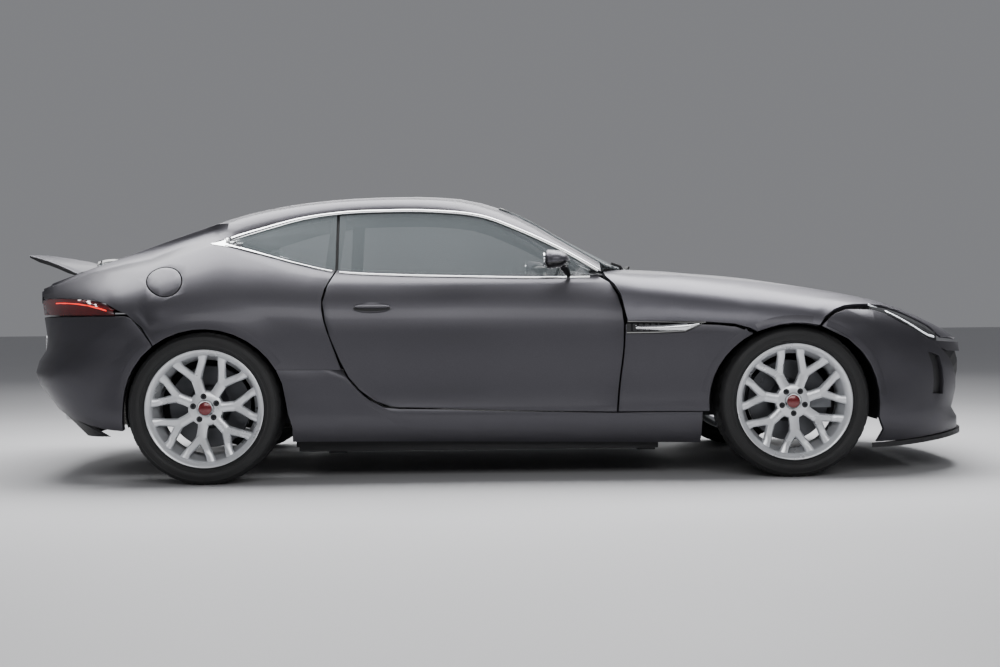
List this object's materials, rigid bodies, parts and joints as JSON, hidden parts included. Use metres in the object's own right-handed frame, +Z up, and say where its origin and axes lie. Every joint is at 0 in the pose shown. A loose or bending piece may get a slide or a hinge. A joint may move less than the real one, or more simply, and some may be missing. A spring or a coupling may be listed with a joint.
{
  "type": "coupe car",
  "caption": "Two-seat fastback coupe with hinged doors, bonnet, tailgate, folding rear spoiler, steered front wheels and a hollow cabin.",
  "frame": {"origin": "on the ground under the middle of the car's length and width", "axes": "+X forwards, +Y to the car's left, +Z up"},
  "size_m": [4.4701, 2.0406, 1.3115],
  "materials": {
    "body_paint": "satin dark grey metallic",
    "door_paint": "satin dark grey metallic on a pressed steel door with its trim",
    "underbody": "matte black sealed steel",
    "glass": "tinted",
    "black_plastic": "grained black",
    "lamp_lens": "smoked clear lens",
    "tail_lens": "dark red lens",
    "alloy": "machined and painted silver",
    "cast": "cast and machined",
    "steel": "drawn tube",
    "rubber": "black rubber",
    "leather": "black leather",
    "trim": "soft black trim"
  },
  "bodies": {
    "body": {"floor_pan": "underbody", "front_structure": "underbody", "rear_structure": "underbody", "body_side_left": "body_paint", "body_side_right": "body_paint", "sills": "body_paint", "front_wings": "body_paint", "front_bumper": "body_paint", "front_grille": "black_plastic", "front_splitter": "black_plastic", "rear_bumper": "body_paint", "rear_diffuser": "black_plastic", "roof": "body_paint", "windscreen": "glass", "quarter_windows": "glass", "headlamps": "lamp_lens", "tail_lamps": "tail_lens", "wheel_arch_liners": "black_plastic", "cowl": "black_plastic", "engine_block": "alloy", "exhaust": "steel", "dashboard": "trim", "seats": "leather", "centre_console": "trim", "suspension": "cast"},
    "door_left": {"door_left": "door_paint", "door_window_left": "glass", "mirror_left": "body_paint"},
    "door_right": {"door_right": "door_paint", "door_window_right": "glass", "mirror_right": "body_paint"},
    "bonnet": {"bonnet": "body_paint"},
    "tailgate": {"tailgate": "body_paint", "rear_window": "glass"},
    "spoiler": {"spoiler": "body_paint"},
    "fuel_flap": {"fuel_flap": "body_paint"},
    "steering_wheel": {"steering_wheel": "leather"},
    "knuckle_left": {"knuckle_left": "cast"},
    "wheel_front_left": {"rim_front_left": "alloy", "tyre_front_left": "rubber"},
    "wheel_rear_left": {"rim_rear_left": "alloy", "tyre_rear_left": "rubber"},
    "knuckle_right": {"knuckle_right": "cast"},
    "wheel_front_right": {"rim_front_right": "alloy", "tyre_front_right": "rubber"},
    "wheel_rear_right": {"rim_rear_right": "alloy", "tyre_rear_right": "rubber"}
  },
  "joints": [
    {"name": "door_left_hinge", "type": "hinge", "parent": "body", "child": "door_left", "pos_m": [0.418, 0.879, 0.65], "axis": [0, 0, -1], "range_deg": [0, 65]},
    {"name": "door_right_hinge", "type": "hinge", "parent": "body", "child": "door_right", "pos_m": [0.418, -0.879, 0.65], "axis": [0, 0, 1], "range_deg": [0, 65]},
    {"name": "bonnet_hinge", "type": "hinge", "parent": "body", "child": "bonnet", "pos_m": [2.19, 0, 0.592], "axis": [0, 1, 0], "range_deg": [0, 38]},
    {"name": "tailgate_hinge", "type": "hinge", "parent": "body", "child": "tailgate", "pos_m": [-1.002, 0, 1.275], "axis": [0, 1, 0], "range_deg": [0, 58]},
    {"name": "spoiler_hinge", "type": "hinge", "parent": "tailgate", "child": "spoiler", "pos_m": [-1.972, 0, 0.9522], "axis": [0, 1, 0], "range_deg": [-30, 0]},
    {"name": "fuel_flap_hinge", "type": "hinge", "parent": "body", "child": "fuel_flap", "pos_m": [-1.438, -0.8805, 0.8893], "axis": [0, 0.7181, 0.6959], "range_deg": [0, 80]},
    {"name": "steering_column", "type": "hinge", "parent": "body", "child": "steering_wheel", "pos_m": [0.285, 0.36, 0.842], "axis": [-0.9272, 0, 0.3746], "range_deg": [-480, 480]},
    {"name": "steer_left", "type": "hinge", "parent": "body", "child": "knuckle_left", "pos_m": [1.291, 0.7045, 0.339], "axis": [0, 0, 1], "range_deg": [-33, 33]},
    {"name": "steer_right", "type": "hinge", "parent": "body", "child": "knuckle_right", "pos_m": [1.291, -0.7045, 0.339], "axis": [0, 0, 1], "range_deg": [-33, 33]},
    {"name": "wheel_front_left_spin", "type": "hinge", "parent": "knuckle_left", "child": "wheel_front_left", "pos_m": [1.291, 0.7925, 0.339], "axis": [0, 1, 0], "continuous": true},
    {"name": "wheel_rear_left_spin", "type": "hinge", "parent": "body", "child": "wheel_rear_left", "pos_m": [-1.331, 0.8135, 0.3375], "axis": [0, 1, 0], "continuous": true},
    {"name": "wheel_front_right_spin", "type": "hinge", "parent": "knuckle_right", "child": "wheel_front_right", "pos_m": [1.291, -0.7925, 0.339], "axis": [0, 1, 0], "continuous": true},
    {"name": "wheel_rear_right_spin", "type": "hinge", "parent": "body", "child": "wheel_rear_right", "pos_m": [-1.331, -0.8135, 0.3375], "axis": [0, 1, 0], "continuous": true}
  ],
  "couplings": [
    {"joint": "steer_right", "follows": "steer_left", "ratio": 1},
    {"joint": "steering_column", "follows": "steer_left", "ratio": 14}
  ]
}
